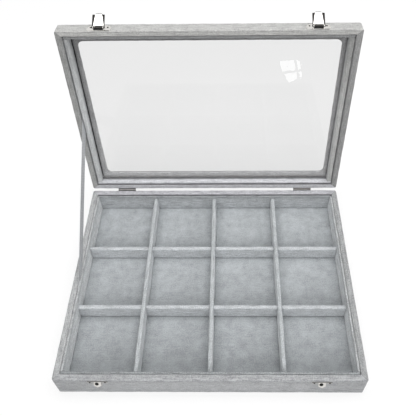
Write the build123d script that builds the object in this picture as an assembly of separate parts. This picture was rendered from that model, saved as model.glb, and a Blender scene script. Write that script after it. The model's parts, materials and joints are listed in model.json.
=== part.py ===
from build123d import *
import os
from math import cos, hypot, radians, sin

os.makedirs("parts", exist_ok=True)

# Closed case, measured over the velvet
case_width = 350.0
case_depth = 262.0
base_height = 36.0
lid_height = 16.0
seam_gap = 0.3
corner_radius = 3.0
edge_radius = 1.5
rim_inner_radius = 1.0

# How far a cutting solid runs past what it cuts
overcut = 1.0

# Boards and the velvet glued round them
wall = 7.6
velvet = 0.6
board_ease = 0.5
felt_thickness = 0.5
felt_margin = 2.0
bottom_board_thickness = 3.0
floor_lining_thickness = 3.0
board_clearance = 0.1
lining_clearance = 0.3

# Velvet-covered liner strips that stand inside the base
groove = 0.7
liner_thickness = 2.0
liner_drop = 1.8
liner_edge_radius = 0.8
strip_joint_gap = 0.1

# Divider grid
columns = 4
rows = 3
divider_thickness = 5.0
cross_divider_height = 20.8
long_divider_height = 23.3
divider_edge_radius = 1.4
divider_end_gap = 0.2
lap_clearance = 0.15

# Lid: top panel with its window, glass and lip strips
panel_thickness = 3.0
window_side_margin = 19.0
window_front_margin = 20.0
window_back_margin = 19.2
window_corner_radius = 7.0
window_edge_radius = 0.8
glass_thickness = 1.8
glass_clearance = 0.5
side_lip_thickness = 6.2
end_lip_thickness = 3.7
lip_drop = 1.8
lip_edge_radius = 1.2
hem_height = 6.0

# Butt hinges on the back face
lid_open_angle = 94.67
hinge_end_distance = 49.0
hinge_width = 25.0
leaf_height = 9.0
leaf_thickness = 0.8
leaf_corner_radius = 1.0
knuckle_radius = 1.2
knuckle_standoff = 0.15
knuckle_gap = 0.15
hinge_pin_radius = 0.6
turning_clearance = 0.05
hinge_screw_spacing = 15.0
hinge_screw_drop = 5.4

# Latches on the lid's front face, closed over the catches on the base
latch_end_distance = 51.0
latch_plate_width = 28.0
latch_plate_low = 0.6
latch_plate_high = 12.1
latch_plate_crown = 15.0
latch_plate_thickness = 0.7
latch_plate_corner = 1.2
latch_foot_inset = 1.0
latch_ear_rise = 3.5
latch_shoulder_inset = 1.4
latch_shoulder_drop = 3.2
latch_slot_corner = 0.6
latch_nail_spacing = 19.5
latch_nail_height = 7.1
pivot_height = 3.0
pivot_standoff = 3.2
lug_thickness = 0.7
lug_radius = 1.6
lever_pin_radius = 0.7
lever_pin_head_radius = 1.1
lever_pin_head_thickness = 0.4
lever_width = 14.0
lever_metal = 0.7
lever_length = 14.9
lever_panel_start = 2.3
lever_flange_radius = 1.4
lever_flange_end = 0.4
lever_lip_depth = 1.5
lever_bend_radius = 0.6
lever_tip_length = 3.0
lever_tip_angle = 25.0
lever_tip_root_inset = 1.2
lever_tip_end_inset = 4.4
lever_tip_corner = 1.2
lever_tip_overlap = 0.3
lever_open_angle = 140.0
lever_side_clearance = 0.3

# Catch plates on the base's front face
catch_ear_width = 23.0
catch_top_drop = 1.9
catch_ear_height = 3.8
catch_shield_width = 13.0
catch_shield_height = 12.2
catch_thickness = 0.6
catch_corner = 1.0
catch_shoulder_drop = 1.0
catch_point_width = 7.8
catch_point_height = 1.6
catch_nail_spacing = 17.0
catch_tongue_width = 8.0
catch_tongue_reach = 3.5
catch_tongue_top = 2.9
catch_tongue_shoulder = 2.4
catch_window_gap = 0.3
catch_root_bend = 1.0
catch_snap_gap = 0.3

# Small nails and screws
nail_head_radius = 1.1
nail_head_height = 0.5
nail_head_bevel = 0.25
nail_shank_radius = 0.6
nail_length = 6.0
nail_clearance = 0.03

# Ribbon stay in the grooves at the left side
ribbon_width = 16.0
ribbon_thickness = 0.4
ribbon_base_distance = 135.0
ribbon_lid_distance = 116.0
ribbon_base_depth = 12.0
ribbon_lid_depth = 9.5

# Heights that follow
board_foot = felt_thickness
floor_top = board_foot + bottom_board_thickness + floor_lining_thickness
liner_top = base_height - liner_drop
seam = base_height + seam_gap
lid_top = seam + lid_height
panel_under = lid_top - panel_thickness
glass_under = panel_under - glass_thickness
lip_low = seam + lip_drop

# Places in plan that follow
half_width = case_width / 2
half_depth = case_depth / 2
strip_outside = wall + groove
tray_width = case_width - 2 * (strip_outside + liner_thickness)
tray_depth = case_depth - 2 * (strip_outside + liner_thickness)
hinge_spacing = case_width - 2 * hinge_end_distance
latch_spacing = case_width - 2 * latch_end_distance

# Lid hinge axis
hinge_y = half_depth + knuckle_radius + knuckle_standoff
hinge_z = base_height + seam_gap / 2
hinge_axis = Axis((0, hinge_y, hinge_z), (1, 0, 0))

nodes = {}


def block(width, depth, low, high, corner=0.0, y=0.0):
    """Upright block with its middle over (0, y), and rounded upright corners."""
    if corner > 0:
        outline = RectangleRounded(width, depth, corner)
    else:
        outline = Rectangle(width, depth)
    return extrude(Pos(0, y, low) * outline, high - low)


def edges_at_height(solid, height):
    """Edges that lie wholly at one height."""
    flat = []
    for edge in solid.edges():
        box = edge.bounding_box()
        if abs(box.min.Z - height) < 0.001 and abs(box.max.Z - height) < 0.001:
            flat.append(edge)
    return flat


def board_ring(low, high, inset, thickness, corner, edge, low_edge):
    """Ring of wall boards: outer block rounded at its edges, less the inside."""
    width = case_width - 2 * inset
    depth = case_depth - 2 * inset
    ring = block(width, depth, low, high, corner)
    ring = fillet(edges_at_height(ring, high), edge)
    if low_edge > 0:
        ring = fillet(edges_at_height(ring, low), low_edge)
    return ring - block(width - 2 * thickness, depth - 2 * thickness, low - overcut, high + overcut)


def inner_rim_edges(ring, height):
    """Edges at one height that bound a ring's inside."""
    tolerance = 0.01
    x = half_width - wall + tolerance
    y = half_depth - wall + tolerance
    return [e for e in edges_at_height(ring, height) if abs(e.center().X) < x and abs(e.center().Y) < y]


def mitred(ring, side):
    """The board of a ring on one side, cut off at 45 degrees at both ends."""
    reach = 2 * wall + corner_radius
    x, y = half_width + reach, half_depth + reach
    near_x, near_y = half_width - reach, half_depth - reach
    wedges = {
        "front": ((-x, -y), (x, -y), (near_x, -near_y), (-near_x, -near_y)),
        "back": ((x, y), (-x, y), (-near_x, near_y), (near_x, near_y)),
        "left": ((-x, y), (-x, -y), (-near_x, -near_y), (-near_x, near_y)),
        "right": ((x, -y), (x, y), (near_x, near_y), (near_x, -near_y)),
    }
    wedge = extrude(Polygon(*wedges[side], align=None), 2 * (base_height + lid_height))
    return ring & wedge


def drill(solid, points, direction, radius=nail_shank_radius + nail_clearance):
    """Bore nail holes that start at the points and run along the direction."""
    for point in points:
        solid = solid - extrude(Plane(point, z_dir=direction) * Circle(radius), nail_length + overcut)
    return solid


def nails(points, direction):
    """Small nails: the head's underside at each point, the shank along the direction."""
    head = extrude(Circle(nail_head_radius), nail_head_height)
    head = chamfer(edges_at_height(head, nail_head_height), nail_head_bevel)
    nail = head + extrude(Circle(nail_shank_radius), -nail_length)
    outward = tuple(-d for d in direction)
    return Compound([Plane(point, z_dir=outward) * nail for point in points])


def raised(plane, outline, height):
    """Solid that rises from an outline on a plane, along the plane's normal."""
    return extrude(plane * outline, height, dir=plane.z_dir)


def mirrored_pair(x):
    return (("left", -x), ("right", x))


# Places of nails and screws, each at the outer face of the plate that it holds
def face_points(centre, spacing, y, z):
    return [(centre + s * spacing / 2, y, z) for s in (-1, 1)]


catch_face = -half_depth - catch_thickness
latch_face = -half_depth - latch_plate_thickness
leaf_face = half_depth + leaf_thickness
catch_nail_z = base_height - catch_top_drop - catch_ear_height / 2
latch_nail_z = seam + latch_nail_height
into_front = (0, 1, 0)
into_back = (0, -1, 0)
catch_nail_points = []
latch_nail_points = []
base_screw_points = []
lid_screw_points = []
for side, x in mirrored_pair(latch_spacing / 2):
    catch_nail_points += face_points(x, catch_nail_spacing, catch_face, catch_nail_z)
    latch_nail_points += face_points(x, latch_nail_spacing, latch_face, latch_nail_z)
for side, x in mirrored_pair(hinge_spacing / 2):
    base_screw_points += face_points(x, hinge_screw_spacing, leaf_face, hinge_z - hinge_screw_drop)
    lid_screw_points += face_points(x, hinge_screw_spacing, leaf_face, hinge_z + hinge_screw_drop)


def base_walls():
    """Mitred wall boards and the velvet wrapped over them."""
    envelope = board_ring(board_foot, base_height, 0, wall, corner_radius, edge_radius, 0)
    envelope = fillet(inner_rim_edges(envelope, base_height), rim_inner_radius)
    board_thickness = wall - 2 * velvet
    core_corner = corner_radius - velvet
    core_edge = edge_radius - velvet
    core = board_ring(board_foot - overcut, base_height - velvet, velvet, board_thickness,
                      core_corner, core_edge, 0)
    wrap = envelope - core
    boards = board_ring(board_foot, base_height - velvet, velvet, board_thickness,
                        core_corner + board_ease, core_edge + board_ease, 0)
    wrap = drill(wrap, catch_nail_points, into_front)
    nodes["base_velvet_wrap"] = drill(wrap, base_screw_points, into_back)
    for side in ("front", "back", "left", "right"):
        board = mitred(boards, side)
        if side == "front":
            board = drill(board, catch_nail_points, into_front)
        if side == "back":
            board = drill(board, base_screw_points, into_back)
        nodes["base_" + side + "_wall"] = board


def base_bottom():
    """Felt under the case, bottom board and the velvet-covered floor lining."""
    felt = block(case_width - 2 * felt_margin, case_depth - 2 * felt_margin, 0, felt_thickness, corner_radius)
    nodes["underside_felt"] = felt
    inside_width = case_width - 2 * wall
    inside_depth = case_depth - 2 * wall
    board_top = board_foot + bottom_board_thickness
    nodes["base_bottom_board"] = block(inside_width - 2 * board_clearance, inside_depth - 2 * board_clearance,
                                       board_foot, board_top)
    nodes["floor_lining"] = block(inside_width - 2 * lining_clearance, inside_depth - 2 * lining_clearance,
                                  board_top, floor_top)


def strip(length, thickness, low, high, rounding, along_x, round_top):
    """Straight velvet-covered strip, rounded along its open edge."""
    if along_x:
        bar = block(length, thickness, low, high)
    else:
        bar = block(thickness, length, low, high)
    edge_height = high if round_top else low
    along = Axis.X if along_x else Axis.Y
    open_edges = ShapeList(edges_at_height(bar, edge_height)).filter_by(along)
    return fillet(open_edges, rounding)


def strip_set(prefix, end_thickness, side_thickness, low, high, rounding, round_top):
    """Four strips inside the walls: the end strips run through, the side strips stand between them."""
    end_length = case_width - 2 * strip_outside
    side_length = case_depth - 2 * (strip_outside + end_thickness + strip_joint_gap)
    end = strip(end_length, end_thickness, low, high, rounding, True, round_top)
    side = strip(side_length, side_thickness, low, high, rounding, False, round_top)
    y = half_depth - strip_outside - end_thickness / 2
    x = half_width - strip_outside - side_thickness / 2
    nodes[prefix + "_front"] = Pos(0, -y, 0) * end
    nodes[prefix + "_back"] = Pos(0, y, 0) * end
    nodes[prefix + "_left"] = Pos(-x, 0, 0) * side
    nodes[prefix + "_right"] = Pos(x, 0, 0) * side


def divider_centres(tray_length, count):
    """Centres of the dividers that split a length into equal compartments."""
    cell = (tray_length - (count - 1) * divider_thickness) / count
    pitch = cell + divider_thickness
    return [-tray_length / 2 + n * pitch - divider_thickness / 2 for n in range(1, count)]


def dividers():
    """Half-lapped grid: slots from below in the long dividers, from above in the cross dividers."""
    xs = divider_centres(tray_width, columns)
    ys = divider_centres(tray_depth, rows)
    long_top = floor_top + long_divider_height
    cross_top = floor_top + cross_divider_height
    middle = floor_top + cross_divider_height / 2
    slot = divider_thickness + 2 * lap_clearance
    long_bar = strip(tray_depth - 2 * divider_end_gap, divider_thickness, floor_top, long_top,
                     divider_edge_radius, False, True)
    cross_bar = strip(tray_width - 2 * divider_end_gap, divider_thickness, floor_top, cross_top,
                      divider_edge_radius, True, True)
    for y in ys:
        long_bar = long_bar - block(slot, slot, floor_top - overcut, middle + lap_clearance, y=y)
    for x in xs:
        cross_bar = cross_bar - Pos(x, 0, 0) * block(slot, slot, middle, cross_top + overcut)
    for n, x in enumerate(xs, 1):
        nodes["long_divider_" + str(n)] = Pos(x, 0, 0) * long_bar
    for name, y in zip(("front", "back"), ys):
        nodes["cross_divider_" + name] = Pos(0, y, 0) * cross_bar


def window_block(grow, low, high):
    """The lid's window as a block, grown on all sides."""
    width = case_width - 2 * window_side_margin + 2 * grow
    depth = case_depth - window_front_margin - window_back_margin + 2 * grow
    y = (window_front_margin - window_back_margin) / 2
    return block(width, depth, low, high, window_corner_radius + grow, y)


def lid_frame():
    """Mitred rails, the top panel with its window, and the velvet wrapped over both."""
    inside_width = case_width - 2 * wall
    inside_depth = case_depth - 2 * wall
    envelope = block(case_width, case_depth, seam, lid_top, corner_radius)
    envelope = fillet(edges_at_height(envelope, lid_top) + edges_at_height(envelope, seam), edge_radius)
    envelope = envelope - block(inside_width, inside_depth, seam - overcut, panel_under)
    envelope = fillet(inner_rim_edges(envelope, seam), rim_inner_radius)
    window = window_block(0, panel_under - overcut, lid_top + overcut)
    envelope = envelope - window
    near_window = [e for e in edges_at_height(envelope, lid_top) + edges_at_height(envelope, panel_under)
                   if e.distance_to(window) < 0.01]
    envelope = fillet(near_window, window_edge_radius)

    board_thickness = wall - 2 * velvet
    core_corner = corner_radius - velvet
    core_edge = edge_radius - velvet
    rails_low, rails_high = seam + velvet, lid_top - velvet
    board_low = panel_under + velvet
    behind_width, behind_depth = inside_width + 2 * velvet, inside_depth + 2 * velvet
    panel_core = block(behind_width, behind_depth, board_low, rails_high)
    panel_core = panel_core - window_block(velvet, board_low - overcut, rails_high + overcut)
    core = board_ring(rails_low, rails_high, velvet, board_thickness, core_corner, core_edge, core_edge)
    hem = block(inside_width, inside_depth, seam + hem_height, glass_under)
    hem = hem + block(inside_width - 2 * velvet, inside_depth - 2 * velvet, glass_under, panel_under)
    hem_cut = block(behind_width, behind_depth, seam + hem_height, glass_under) - hem
    wrap = envelope - core - panel_core - hem_cut
    nodes["lid_velvet_wrap"] = drill(drill(wrap, latch_nail_points, into_front), lid_screw_points, into_back)
    rails = board_ring(rails_low, rails_high, velvet, board_thickness, core_corner + board_ease,
                       core_edge + board_ease, core_edge + board_ease)
    for side in ("front", "back", "left", "right"):
        rail = mitred(rails, side)
        if side == "front":
            rail = drill(rail, latch_nail_points, into_front)
        if side == "back":
            rail = drill(rail, lid_screw_points, into_back)
        place = "hinge" if side == "back" else side
        nodes["lid_" + place + "_rail"] = rail
    nodes["lid_top_panel"] = panel_core


def lid_glazing():
    """Glass laid in from inside against the panel, held by four lip strips."""
    width = case_width - 2 * (wall + glass_clearance)
    depth = case_depth - 2 * (wall + glass_clearance)
    nodes["glass_pane"] = block(width, depth, glass_under, panel_under)
    strip_set("lid_lip", end_lip_thickness, side_lip_thickness, lip_low, glass_under, lip_edge_radius, False)


def hinge_leaf(x, own, other, up):
    """One leaf: a plate on the back face with its knuckles rolled round the pin."""
    knuckle = (hinge_width - 2 * knuckle_gap) / 3
    end = hinge_width / 2
    spans = {"outer": ((-end, -end + knuckle), (end - knuckle, end)),
             "middle": ((-knuckle / 2, knuckle / 2),)}
    sign = 1 if up else -1
    near = seam_gap / 2
    plate_face = Plane((x, half_depth, hinge_z), x_dir=(-1, 0, 0), z_dir=(0, 1, 0))
    outline = Pos(0, sign * (near + leaf_height) / 2) * Rectangle(hinge_width, leaf_height - near)
    outer_corners = outline.vertices().sort_by(Axis.Y)
    outer_corners = outer_corners[-2:] if up else outer_corners[:2]
    outline = fillet(outer_corners, leaf_corner_radius)
    leaf = raised(plate_face, outline, leaf_thickness)

    def along_pin(low, high, radius):
        return extrude(Plane((x + low, hinge_y, hinge_z), z_dir=(1, 0, 0)) * Circle(radius), high - low)

    for low, high in spans[other]:
        leaf = leaf - along_pin(low - knuckle_gap, high + knuckle_gap, knuckle_radius + knuckle_gap)
    for low, high in spans[own]:
        web = Pos(0, sign * near / 2) * Rectangle(high - low, near)
        web = raised(plate_face, Pos(-(low + high) / 2, 0) * web, leaf_thickness)
        leaf = leaf + web + along_pin(low, high, knuckle_radius)
    return leaf - along_pin(-hinge_width, hinge_width, hinge_pin_radius + turning_clearance)


def hinges():
    for side, x in mirrored_pair(hinge_spacing / 2):
        base_leaf = hinge_leaf(x, "outer", "middle", False)
        lid_leaf = hinge_leaf(x, "middle", "outer", True)
        nodes[side + "_hinge_base_leaf"] = drill(base_leaf, base_screw_points, into_back)
        nodes[side + "_hinge_lid_leaf"] = drill(lid_leaf, lid_screw_points, into_back)
        start = Plane((x - hinge_width / 2, hinge_y, hinge_z), z_dir=(1, 0, 0))
        nodes[side + "_hinge_pin"] = extrude(start * Circle(hinge_pin_radius), hinge_width)
    nodes["hinge_base_screws"] = nails(base_screw_points, into_back)
    nodes["hinge_lid_screws"] = nails(lid_screw_points, into_back)


def front_plane(x, z):
    """Plane on the front face: X along the face, Y up, Z out of it."""
    return Plane((x, -half_depth, z), x_dir=(1, 0, 0), z_dir=(0, -1, 0))


def side_plane(x, z):
    """Plane across the front face: X up, Y out of the face, Z along it."""
    return Plane((x, -half_depth, z), x_dir=(0, 0, 1), z_dir=(1, 0, 0))


lug_outer = lever_width / 2 - lever_metal - lever_side_clearance


def latch_plate(x):
    """Stamped plate with tapered ears and two lugs bent up for the lever pin."""
    half, crown = latch_plate_width / 2, latch_plate_crown / 2
    foot, shoulder = half - latch_foot_inset, half - latch_shoulder_inset
    low, high = latch_plate_low, latch_plate_high
    ear_z, shoulder_z = low + latch_ear_rise, high - latch_shoulder_drop
    right_side = [(foot, low), (half, ear_z), (shoulder, shoulder_z), (crown, high)]
    left_side = [(-px, pz) for px, pz in reversed(right_side)]
    outline = Polygon(*right_side, *left_side, align=None)
    outline = fillet(outline.vertices(), latch_plate_corner)
    plate = raised(front_plane(x, seam), outline, latch_plate_thickness)
    slot_width = 2 * (lug_outer - lug_thickness)
    slot = Pos(0, pivot_height) * RectangleRounded(slot_width, 2 * lug_radius, latch_slot_corner)
    plate = plate - raised(front_plane(x, seam), slot, latch_plate_thickness)
    web = Pos(pivot_height, pivot_standoff / 2) * Rectangle(2 * lug_radius, pivot_standoff)
    lug = web + Pos(pivot_height, pivot_standoff) * Circle(lug_radius)
    lug = lug - Pos(pivot_height, pivot_standoff) * Circle(lever_pin_radius + turning_clearance)
    for low_x in (-lug_outer, lug_outer - lug_thickness):
        plate = plate + raised(side_plane(x + low_x, seam), lug, lug_thickness)
    return drill(plate, latch_nail_points, into_front)


def latch_lever(x):
    """Pressed channel lever in its closed place: flanges on the pin, snap lip and bent finger tip."""
    half = lever_width / 2
    pivot = Pos(pivot_height, pivot_standoff)

    def across(points, low_x, width):
        outline = pivot * Polygon(*[(-s, n) for s, n in points], align=None)
        return raised(side_plane(x + low_x, seam), outline, width)

    top = lever_flange_radius
    under = top - lever_metal
    length = lever_length
    flange_points = ((0, -top), (0, top), (length, top), (length, -lever_flange_end))
    lever = across(((lever_panel_start, under), (lever_panel_start, top), (length, top), (length, under)),
                   -half, lever_width)
    for low_x in (-half, half - lever_metal):
        eye = raised(side_plane(x + low_x, seam), pivot * Circle(lever_flange_radius), lever_metal)
        lever = lever + across(flange_points, low_x, lever_metal) + eye
    outer_bends = [e for e in lever.edges().filter_by(Axis.Z)
                   if abs(e.center().Y + half_depth + pivot_standoff + top) < 0.01
                   and abs(abs(e.center().X - x) - half) < 0.01]
    lever = fillet(outer_bends, lever_bend_radius)
    lip_low = under - lever_lip_depth
    lever = lever + across(((length - lever_metal, lip_low), (length - lever_metal, under), (length, under),
                            (length, lip_low)), -half + lever_metal, lever_width - 2 * lever_metal)
    tilt = radians(lever_tip_angle)
    root = (x, -half_depth - pivot_standoff - under, seam + pivot_height - length)
    tip_plane = Plane(root, x_dir=(1, 0, 0), z_dir=(0, cos(tilt), -sin(tilt)))
    root_half, end_half = half - lever_tip_root_inset, half - lever_tip_end_inset
    tip = Polygon((-root_half, -lever_tip_overlap), (root_half, -lever_tip_overlap),
                  (end_half, lever_tip_length), (-end_half, lever_tip_length), align=None)
    tip = fillet(tip.vertices().sort_by(Axis.Y)[-2:], lever_tip_corner)
    lever = lever + raised(tip_plane, tip, -lever_metal)
    bore = pivot * Circle(lever_pin_radius + turning_clearance)
    return lever - raised(side_plane(x - half - overcut, seam), bore, lever_width + 2 * overcut)


def lever_pin(x):
    """Pin through lugs and flanges, with its ends spread to small heads."""
    shank = lever_width / 2 + turning_clearance
    head = lever_pin_head_thickness
    centre = Pos(pivot_height, pivot_standoff)
    pin = raised(side_plane(x - shank, seam), centre * Circle(lever_pin_radius), 2 * shank)
    for low_x in (-shank - head, shank):
        pin = pin + raised(side_plane(x + low_x, seam), centre * Circle(lever_pin_head_radius), head)
    return pin


def catch_plate(x):
    """Shield-shaped catch with ears and a pressed-out tongue that the lever's lip snaps under."""
    ear, shield, point = catch_ear_width / 2, catch_shield_width / 2, catch_point_width / 2
    top, ear_low = -catch_top_drop, -catch_top_drop - catch_ear_height
    bottom = top - catch_shield_height
    right_side = [(point, bottom + catch_point_height), (shield, ear_low - catch_shoulder_drop),
                  (ear, ear_low), (ear, top)]
    left_side = [(-px, pz) for px, pz in reversed(right_side)]
    outline = Polygon((0, bottom), *right_side, *left_side, align=None)
    outline = fillet(outline.vertices(), catch_corner)
    face = front_plane(x, base_height)
    plate = raised(face, outline, catch_thickness)

    nose_z = seam_gap + pivot_height - lever_length + lever_metal + catch_snap_gap
    root_z = -catch_tongue_top
    half = catch_tongue_width / 2
    shoulder_z = nose_z + catch_tongue_shoulder

    def pointed(nose, head):
        corners = ((0, nose), (half, shoulder_z), (half, head), (-half, head), (-half, shoulder_z))
        return Polygon(*corners, align=None)

    window = pointed(nose_z - catch_window_gap, root_z - catch_root_bend)
    plate = plate - raised(face, window, catch_thickness)
    reach = catch_tongue_reach
    prism = raised(face, pointed(nose_z, root_z + overcut), reach + overcut)
    ramp = Polygon((root_z, 0), (root_z, catch_thickness), (nose_z, reach), (nose_z, reach - catch_thickness),
                   (root_z - catch_root_bend, 0), align=None)
    tongue = raised(side_plane(x - half, base_height), ramp, catch_tongue_width) & prism
    return drill(plate + tongue, catch_nail_points, into_front)


def latches():
    for side, x in mirrored_pair(latch_spacing / 2):
        nodes[side + "_latch_plate"] = latch_plate(x)
        nodes[side + "_lever_pin"] = lever_pin(x)
        pivot_axis = Axis((x, -half_depth - pivot_standoff, seam + pivot_height), (1, 0, 0))
        nodes[side + "_latch_lever"] = latch_lever(x).rotate(pivot_axis, -lever_open_angle)
        nodes[side + "_catch_plate"] = catch_plate(x)
    nodes["latch_nails"] = nails(latch_nail_points, into_front)
    nodes["catch_nails"] = nails(catch_nail_points, into_front)


def ribbon_stay():
    """Taut ribbon from the base's left groove to the lid's left groove, its ends cut level in both."""
    turn = radians(lid_open_angle)
    sine, cosine = sin(turn), cos(turn)
    base_y = half_depth - ribbon_base_distance
    dy = half_depth - ribbon_lid_distance - hinge_y
    dz = seam - hinge_z
    lid_y = hinge_y + dy * cosine + dz * sine
    lid_z = hinge_z - dy * sine + dz * cosine
    length = hypot(lid_y - base_y, lid_z - base_height)
    way_y, way_z = (lid_y - base_y) / length, (lid_z - base_height) / length
    corners = []
    for side in (-ribbon_width / 2, ribbon_width / 2):
        edge_y, edge_z = base_y - side * way_z, base_height + side * way_y
        to_base = (base_height - ribbon_base_depth - edge_z) / way_z
        behind_seam = (edge_y - lid_y) * sine + (edge_z - lid_z) * cosine
        to_lid = (ribbon_lid_depth - behind_seam) / (way_y * sine + way_z * cosine)
        ends = [(edge_y + reach * way_y, edge_z + reach * way_z) for reach in (to_base, to_lid)]
        corners += ends if side < 0 else ends[::-1]
    face = Plane((-half_width + wall + groove / 2, 0, 0), x_dir=(0, 1, 0), z_dir=(1, 0, 0))
    outline = Polygon(*corners, align=None)
    nodes["ribbon_stay"] = extrude(face * outline, ribbon_thickness / 2, both=True)
    print("ribbon between the rims", round(length, 1), "mm")


base_walls()
base_bottom()
strip_set("liner", liner_thickness, liner_thickness, floor_top, liner_top, liner_edge_radius, True)
dividers()
lid_frame()
lid_glazing()
hinges()
latches()
ribbon_stay()

lid_nodes = ("lid_velvet_wrap", "lid_front_rail", "lid_hinge_rail", "lid_left_rail", "lid_right_rail",
             "lid_top_panel", "glass_pane", "lid_lip_front", "lid_lip_back", "lid_lip_left", "lid_lip_right",
             "left_hinge_lid_leaf", "right_hinge_lid_leaf", "hinge_lid_screws", "left_latch_plate",
             "right_latch_plate", "left_lever_pin", "right_lever_pin", "left_latch_lever",
             "right_latch_lever", "latch_nails")
for name in lid_nodes:
    nodes[name] = nodes[name].rotate(hinge_axis, -lid_open_angle)

for name, solid in nodes.items():
    export_step(solid, "parts/" + name + ".step")
print(len(nodes), "nodes")
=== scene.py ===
import json
import math
import bpy
from mathutils import Matrix, Vector, noise


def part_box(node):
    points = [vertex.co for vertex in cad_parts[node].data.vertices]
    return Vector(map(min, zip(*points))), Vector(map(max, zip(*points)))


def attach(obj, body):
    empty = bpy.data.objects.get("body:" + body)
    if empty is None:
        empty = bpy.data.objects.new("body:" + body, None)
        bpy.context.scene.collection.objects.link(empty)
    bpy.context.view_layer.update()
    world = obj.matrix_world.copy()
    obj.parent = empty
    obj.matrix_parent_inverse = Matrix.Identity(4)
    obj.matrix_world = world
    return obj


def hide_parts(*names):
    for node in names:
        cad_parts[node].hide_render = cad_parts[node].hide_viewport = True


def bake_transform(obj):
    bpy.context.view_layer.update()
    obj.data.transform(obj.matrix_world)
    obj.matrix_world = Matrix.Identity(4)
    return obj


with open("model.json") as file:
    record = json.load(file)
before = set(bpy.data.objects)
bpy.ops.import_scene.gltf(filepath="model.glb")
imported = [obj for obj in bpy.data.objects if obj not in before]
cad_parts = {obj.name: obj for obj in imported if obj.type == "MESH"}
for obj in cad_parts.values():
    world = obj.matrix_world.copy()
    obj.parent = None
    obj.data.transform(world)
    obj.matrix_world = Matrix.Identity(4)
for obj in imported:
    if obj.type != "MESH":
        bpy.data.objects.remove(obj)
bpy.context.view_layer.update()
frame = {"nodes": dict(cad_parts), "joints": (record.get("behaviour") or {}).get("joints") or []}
mm = 0.001
print("frame loaded")


def hexColour(text):
    channels = [int(text[i:i + 2], 16) / 255 for i in (1, 3, 5)]
    linear = [c / 12.92 if c <= 0.04045 else ((c + 0.055) / 1.055) ** 2.4 for c in channels]
    return (*linear, 1.0)


# Each value is a setting of the node, a number or colour for one of its inputs, or another node's output
def addNode(tree, kind, values=None, output=0):
    node = tree.nodes.new("ShaderNode" + kind)
    for key, value in (values or {}).items():
        if isinstance(value, bpy.types.NodeSocket):
            tree.links.new(node.inputs[key], value)
        elif isinstance(key, int) or key in node.inputs:
            node.inputs[key].default_value = value
        else:
            setattr(node, key, value)
    return node if output is None else node.outputs[output]


def objectPlace(tree):
    return addNode(tree, "TexCoord", output="Object")


def layerPlace(tree, name):
    return addNode(tree, "UVMap", {"uv_map": name})


def addNoise(tree, vector, size, **more):
    return addNode(tree, "TexNoise", {"Scale": 1 / (size * mm), "Vector": vector, **more}, "Fac")


def addMath(tree, operation, first, second=0.0):
    return addNode(tree, "Math", {"operation": operation, 0: first, 1: second})


def addRange(tree, value, start, end, low=0.0, high=1.0):
    return addNode(tree, "MapRange", {"Value": value, "From Min": start, "From Max": end, "To Min": low,
                                      "To Max": high})


def addBump(tree, height, strength, distance):
    return addNode(tree, "Bump", {"Strength": strength, "Distance": distance * mm, "Height": height})


def mixValues(tree, share, first, second):
    return addNode(tree, "Mix", {"data_type": "FLOAT", 0: share, 2: first, 3: second})


def mixColours(tree, share, first, second):
    return addNode(tree, "Mix", {"data_type": "RGBA", 0: share, 6: first, 7: second}, 2)


def anyRay(tree, *kinds):
    rays = addNode(tree, "LightPath", output=None)
    found = rays.outputs["Is " + kinds[0] + " Ray"]
    for kind in kinds[1:]:
        found = addMath(tree, "MAXIMUM", found, rays.outputs["Is " + kind + " Ray"])
    return found


def startMaterial(name):
    material = bpy.data.materials.new(name)
    material.use_nodes = True
    tree = material.node_tree
    tree.nodes.clear()
    return material, tree


def endMaterial(material, tree, shader):
    addNode(tree, "OutputMaterial", {"Surface": shader}, None)
    return material


# A matt finish: fine marks that also roughen the surface, with clouds over them
def endMatt(material, tree, look, fine, cloud):
    tone = mixValues(tree, look["cloudShare"], fine, cloud)
    matt = addNode(tree, "BsdfPrincipled", {
        "Base Color": mixColours(tree, tone, hexColour(look["dark"]), hexColour(look["pale"])),
        "Normal": addBump(tree, fine, *look["bump"]), "Roughness": look["roughness"],
        "Specular IOR Level": look["specular"], "Sheen Weight": look["sheen"]})
    return endMaterial(material, tree, matt)


def addWhite(tree, kind, strength):
    return addNode(tree, kind, {"Color": (1, 1, 1, 1), "Strength": strength})


# Short-pile polyester velvet, brushed by hand as it was glued: a matt grey with pale and dark
# patches where the pile lies one way or the other, and a soft bright edge where it is seen side on
velvetLook = {
    "dark": "#A8AAAC",
    "pale": "#E4E7E9",
    "patchSize": 11.0,       # mm, one patch of pile that lies one way
    "strokeLength": 16.0,    # mm, marks of the brush along a piece
    "strokeWidth": 1.4,
    "pileSize": 1.3,         # mm, coarser than the real 0.3 mm tufts, so that it shows
    "crease": "#141415",     # painted shade: the colour that folds, grooves and other shaded places are darkened towards
    "shift": 0.31,           # m from one piece's patches to the next one's in the same noise
    "sheen": 0.5,
    "sheenRoughness": 0.4,
    "bump": (0.45, 0.3),     # strength, and height in mm
    "bumpPile": 0.6,         # how much of it is single tufts, and not strokes
}


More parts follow.
